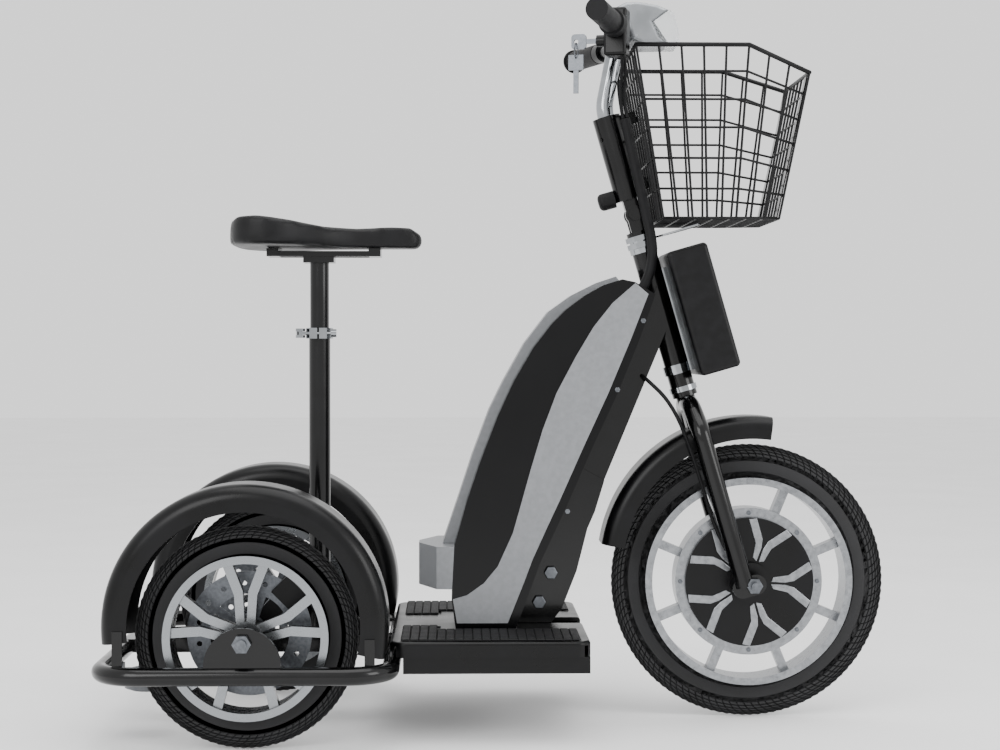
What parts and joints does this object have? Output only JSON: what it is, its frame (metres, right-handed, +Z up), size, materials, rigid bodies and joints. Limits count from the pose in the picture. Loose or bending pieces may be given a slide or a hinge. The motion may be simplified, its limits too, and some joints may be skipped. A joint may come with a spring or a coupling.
{
  "type": "three-wheel electric mobility scooter",
  "caption": "Black three-wheel sit-or-stand electric scooter with a front hub motor, wire basket, saddle on a post and a rear bumper hoop.",
  "frame": {"origin": "on the ground, midway along the length and across the width", "axes": "+X forward, +Y to the rider's left, +Z up"},
  "size_m": [1.156, 0.606, 1.076],
  "materials": {
    "black_paint": "gloss",
    "black_plastic": "satin moulded",
    "grey_plastic": "satin painted",
    "chrome": "polished",
    "steel": "brushed",
    "machined_aluminium": "machined",
    "tyre_rubber": "matte treaded",
    "rubber": "matte",
    "black_wire": "powder coated wire",
    "saddle_cover": "soft vinyl",
    "lens": "clear faceted",
    "horn_grey": "satin"
  },
  "bodies": {
    "frame": {"head_tube": "black_paint", "headset_cups": "chrome", "bumper_hoop": "black_paint", "spine": "black_paint", "down_tube": "black_paint", "axle_plates": "black_paint", "rear_axle": "steel", "horn": "horn_grey", "rear_fenders": "black_plastic", "brake_calipers": "machined_aluminium", "seat_tube": "black_paint", "seat_clamp": "black_paint", "deck_board": "black_plastic", "deck_mats": "rubber", "deck_tray": "black_plastic", "cover_shell": "black_plastic", "cover_sides": "grey_plastic", "cover_spine": "grey_plastic", "cover_ledge": "grey_plastic", "battery_pack": "black_plastic", "controller_box": "black_plastic", "controller_bracket": "machined_aluminium", "frame_loom": "rubber", "motor_lead": "rubber", "brake_cables": "rubber"},
    "steering": {"fork": "black_paint", "headset_nuts": "chrome", "basket_stay": "chrome", "fold_hinge": "black_paint", "front_axle": "steel", "front_fender": "black_plastic"},
    "stem": {"stem_tube": "black_paint", "basket": "black_wire", "stem_loom": "rubber", "bar_cables": "rubber"},
    "latch": {"latch_knob": "rubber"},
    "handlebar": {"handlebar_tube": "black_paint", "gooseneck": "chrome", "left_grip": "rubber", "throttle_housing": "black_plastic", "brake_perch": "machined_aluminium", "headlight_body": "black_plastic", "headlight_lens": "lens"},
    "throttle": {"throttle_grip": "rubber"},
    "horn_button": {"horn_button": "black_plastic"},
    "key": {"ignition_key": "steel"},
    "spare_key": {"spare_key": "steel"},
    "brake_lever": {"brake_lever": "machined_aluminium"},
    "front_wheel": {"front_rim": "machined_aluminium", "front_tyre": "tyre_rubber", "motor_covers": "black_plastic"},
    "rear_wheel_left": {"rear_rim_left": "machined_aluminium", "rear_tyre_left": "tyre_rubber", "brake_disc_left": "steel"},
    "rear_wheel_right": {"rear_rim_right": "machined_aluminium", "rear_tyre_right": "tyre_rubber", "brake_disc_right": "steel"},
    "seat": {"seat_post": "steel", "saddle": "saddle_cover"},
    "seat_clamp_lever": {"clamp_lever": "chrome"}
  },
  "joints": [
    {"name": "steering", "type": "hinge", "parent": "frame", "child": "steering", "pos_m": [0.27421, 0, 0.49491], "axis": [-0.2756, 0, 0.9613], "range_deg": [-45, 45], "deforming": ["frame_loom", "motor_lead"]},
    {"name": "stem_fold", "type": "hinge", "parent": "steering", "child": "stem", "pos_m": [0.19788, 0, 0.76108], "axis": [0, -1, 0], "range_deg": [0, 60], "deforming": ["stem_loom"]},
    {"name": "handlebar_height", "type": "slide", "parent": "stem", "child": "handlebar", "axis": [-0.2756, 0, 0.9613], "range_m": [0, 0.04], "deforming": ["bar_cables"]},
    {"name": "throttle_twist", "type": "hinge", "parent": "handlebar", "child": "throttle", "pos_m": [0.123, -0.25, 1.029], "axis": [0.2927, 0.9557, -0.0299], "range_deg": [0, 60], "stiffness_Nm_per_rad": 0.4, "springref_deg": -5.73},
    {"name": "brake_lever_pull", "type": "hinge", "parent": "handlebar", "child": "brake_lever", "pos_m": [0.18511, 0.13939, 1.0253], "axis": [0.0087, -0.0286, 0.9996], "range_deg": [0, 18], "stiffness_Nm_per_rad": 1, "springref_deg": -5.73},
    {"name": "horn_button_press", "type": "slide", "parent": "handlebar", "child": "horn_button", "axis": [0.9562, -0.2928, 0], "range_m": [0, 0.002], "stiffness_N_per_m": 300, "springref_m": -0.0005},
    {"name": "ignition_key_turn", "type": "hinge", "parent": "handlebar", "child": "key", "pos_m": [0.13344, -0.11688, 1.0051], "axis": [0.9562, -0.2928, 0], "range_deg": [0, 90]},
    {"name": "spare_key_swing", "type": "hinge", "parent": "key", "child": "spare_key", "pos_m": [0.1038, -0.1078, 1.0051], "axis": [0.2927, 0.9557, -0.0299], "range_deg": [-30, 30]},
    {"name": "latch_pull", "type": "slide", "parent": "stem", "child": "latch", "axis": [-0.9613, 0, -0.2756], "range_m": [0, 0.006], "stiffness_N_per_m": 400, "springref_m": -0.001},
    {"name": "front_wheel_spin", "type": "hinge", "parent": "steering", "child": "front_wheel", "pos_m": [0.37, 0, 0.208], "axis": [0, 1, 0], "continuous": true},
    {"name": "rear_wheel_left_spin", "type": "hinge", "parent": "frame", "child": "rear_wheel_left", "pos_m": [-0.363, 0.222, 0.1575], "axis": [0, 1, 0], "continuous": true},
    {"name": "rear_wheel_right_spin", "type": "hinge", "parent": "frame", "child": "rear_wheel_right", "pos_m": [-0.363, -0.222, 0.1575], "axis": [0, 1, 0], "continuous": true},
    {"name": "seat_height", "type": "slide", "parent": "frame", "child": "seat", "axis": [0, 0, 1], "range_m": [-0.09, 0.045]},
    {"name": "seat_clamp_open", "type": "hinge", "parent": "frame", "child": "seat_clamp_lever", "pos_m": [-0.304, -0.026, 0.582], "axis": [0, 0, 1], "range_deg": [0, 150]}
  ]
}
